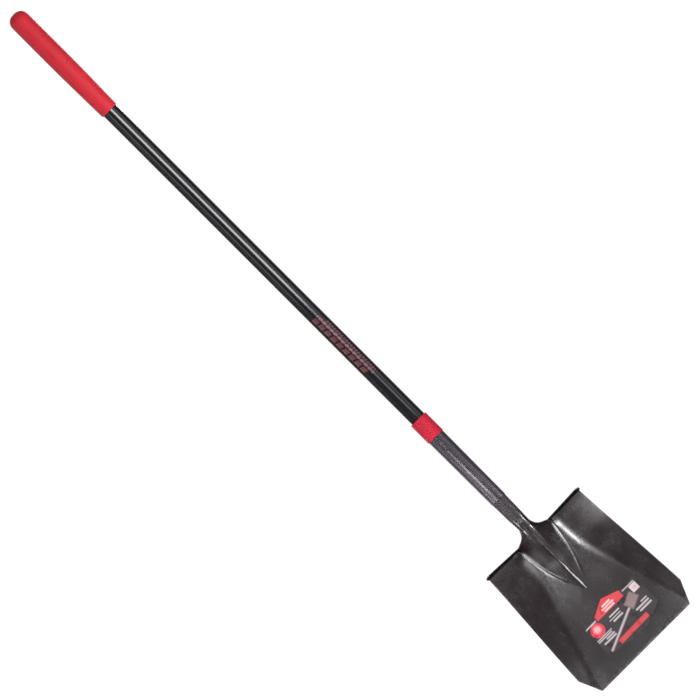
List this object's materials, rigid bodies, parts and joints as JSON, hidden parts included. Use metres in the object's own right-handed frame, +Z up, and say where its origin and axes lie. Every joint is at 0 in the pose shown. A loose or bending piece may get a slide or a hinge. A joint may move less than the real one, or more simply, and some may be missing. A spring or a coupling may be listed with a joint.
{
  "type": "square point shovel",
  "caption": "Long handled square point shovel: pressed steel blade with raised frog and forward foot steps, tapered steel collar, hollow black handle, red ring and soft red end grip.",
  "frame": {"origin": "Middle of the cutting edge at the bottom of the blade, half way through the sheet.", "axes": "+Z runs up parallel to the handle axis, which is 56.0 mm behind the cutting edge in +Y. The hollow working face of the blade looks toward -Y. +X runs across the blade, to the right as seen from -Y."},
  "size_m": [0.2476, 0.0835, 1.5385],
  "materials": {
    "blade_steel": "semi-gloss black clear-coated steel",
    "collar_steel": "dark satin, rough",
    "red_plastic": "matte red",
    "black_fibreglass": "glossy black",
    "core_wood": "plain dowel",
    "red_foam": "soft matte red",
    "rivet_steel": "dark steel",
    "label_print": "glossy printed label"
  },
  "bodies": {
    "root": {"blade": "blade_steel", "steel_collar": "collar_steel", "collar_ring": "red_plastic", "handle_tube": "black_fibreglass", "handle_core": "core_wood", "end_grip": "red_foam", "neck_rivet": "rivet_steel", "blade_label": "label_print"}
  },
  "joints": []
}
